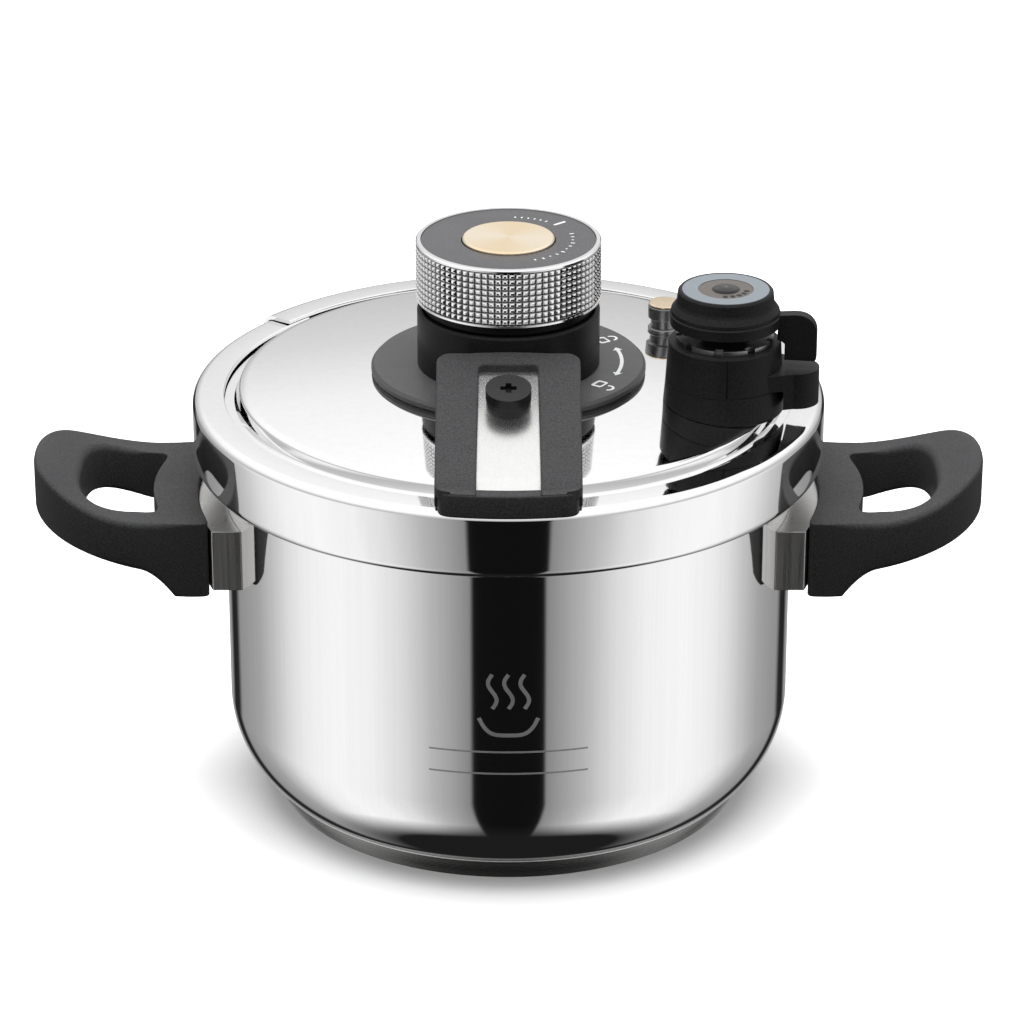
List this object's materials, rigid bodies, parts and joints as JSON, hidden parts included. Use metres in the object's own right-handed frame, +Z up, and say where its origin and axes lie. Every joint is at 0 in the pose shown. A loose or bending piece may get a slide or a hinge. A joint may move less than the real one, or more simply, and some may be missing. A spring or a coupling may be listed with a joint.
{
  "type": "pressure cooker",
  "caption": "Stainless steel stovetop pressure cooker with a turn-knob jaw closure, two side handles, a pressure valve and an indicator pin.",
  "frame": {"origin": "centre of the pot's underside, on the pot's axis, at table level", "axes": "+Z up along the pot's axis, -Y the front (front jaw and its arm cover), +X the side with the pressure valve and the right handle"},
  "size_m": [0.368, 0.2498, 0.2266],
  "materials": {
    "pot_steel": "satin",
    "base_steel": "brushed",
    "core_aluminium": "satin",
    "polished_steel": "polished",
    "arm_steel": "satin",
    "small_steel": "satin",
    "handle_plastic": "fine texture",
    "hub_plastic": "satin",
    "plate_plastic": "fine texture",
    "screw_black": "satin",
    "knurl_chrome": "polished",
    "face_grey": "fleck",
    "button_gold": "circular brushed",
    "brass": "satin",
    "seal_rubber": "matte",
    "dark_rubber": "matte",
    "red_rubber": "matte",
    "label_blue": "printed",
    "label_brown": "printed"
  },
  "bodies": {
    "pot": {"pot_body": "pot_steel", "base_core": "core_aluminium", "base_cap": "base_steel", "left_bracket": "polished_steel", "right_bracket": "polished_steel", "left_handle": "handle_plastic", "right_handle": "handle_plastic", "left_handle_screw": "small_steel", "right_handle_screw": "small_steel"},
    "lid": {"lid_shell": "polished_steel", "lid_gasket": "seal_rubber", "lock_plate": "plate_plastic", "hub_base": "hub_plastic", "hub_collar": "hub_plastic", "centre_stud": "small_steel", "stud_nut": "small_steel", "knob_bush": "brass", "stop_plate": "small_steel", "top_nut": "small_steel", "valve_stem": "small_steel", "valve_nut": "small_steel", "valve_gasket": "dark_rubber", "valve_strainer": "small_steel", "valve_body": "small_steel", "valve_housing": "hub_plastic", "valve_collar": "hub_plastic", "valve_spring": "small_steel", "indicator_barrel": "small_steel", "indicator_nut": "small_steel"},
    "knob": {"cam_disc": "small_steel", "knob_core": "hub_plastic", "knurled_ring": "knurl_chrome", "knob_face": "face_grey", "button_spring": "small_steel"},
    "button": {"release_button": "button_gold"},
    "front_jaw": {"front_jaw_ring": "polished_steel", "front_arm": "arm_steel", "front_cover": "handle_plastic", "front_end_block": "handle_plastic", "front_arm_screw": "screw_black", "front_cam_pin": "small_steel"},
    "back_jaw": {"back_jaw_ring": "polished_steel", "back_arm": "arm_steel", "back_cover": "handle_plastic", "back_end_block": "handle_plastic", "back_arm_screw": "screw_black", "back_cam_pin": "small_steel"},
    "selector": {"selector_knob": "hub_plastic", "selector_ring": "label_blue", "selector_disc": "label_brown"},
    "piston": {"valve_piston": "brass"},
    "indicator": {"indicator_pin": "brass", "indicator_seal": "red_rubber"}
  },
  "joints": [
    {"name": "lid_lift", "type": "slide", "parent": "pot", "child": "lid", "axis": [0, 0, 1], "range_m": [0, 0.12]},
    {"name": "knob_turn", "type": "hinge", "parent": "lid", "child": "knob", "pos_m": [0, 0, 0.22588], "axis": [0, 0, 1], "range_deg": [0, 90]},
    {"name": "front_jaw_slide", "type": "slide", "parent": "lid", "child": "front_jaw", "axis": [0, -1, 0], "range_m": [0, 0.006]},
    {"name": "back_jaw_slide", "type": "slide", "parent": "lid", "child": "back_jaw", "axis": [0, 1, 0], "range_m": [0, 0.006]},
    {"name": "button_press", "type": "slide", "parent": "knob", "child": "button", "axis": [0, 0, -1], "range_m": [0, 0.003], "stiffness_N_per_m": 500, "springref_m": -0.002, "deforming": ["button_spring"]},
    {"name": "selector_turn", "type": "hinge", "parent": "lid", "child": "selector", "pos_m": [0.08156, -0.02697, 0.2156], "axis": [0, 0, 1], "range_deg": [0, 120]},
    {"name": "piston_lift", "type": "slide", "parent": "lid", "child": "piston", "axis": [0, 0, 1], "range_m": [0, 0.0015], "stiffness_N_per_m": 400, "springref_m": -0.003, "deforming": ["valve_spring"]},
    {"name": "indicator_rise", "type": "slide", "parent": "lid", "child": "indicator", "axis": [0, 0, 1], "range_m": [0, 0.003]}
  ],
  "couplings": [
    {"joint": "front_jaw_slide", "follows": "knob_turn", "m_per_rad": 0.0038197},
    {"joint": "back_jaw_slide", "follows": "knob_turn", "m_per_rad": 0.0038197}
  ]
}
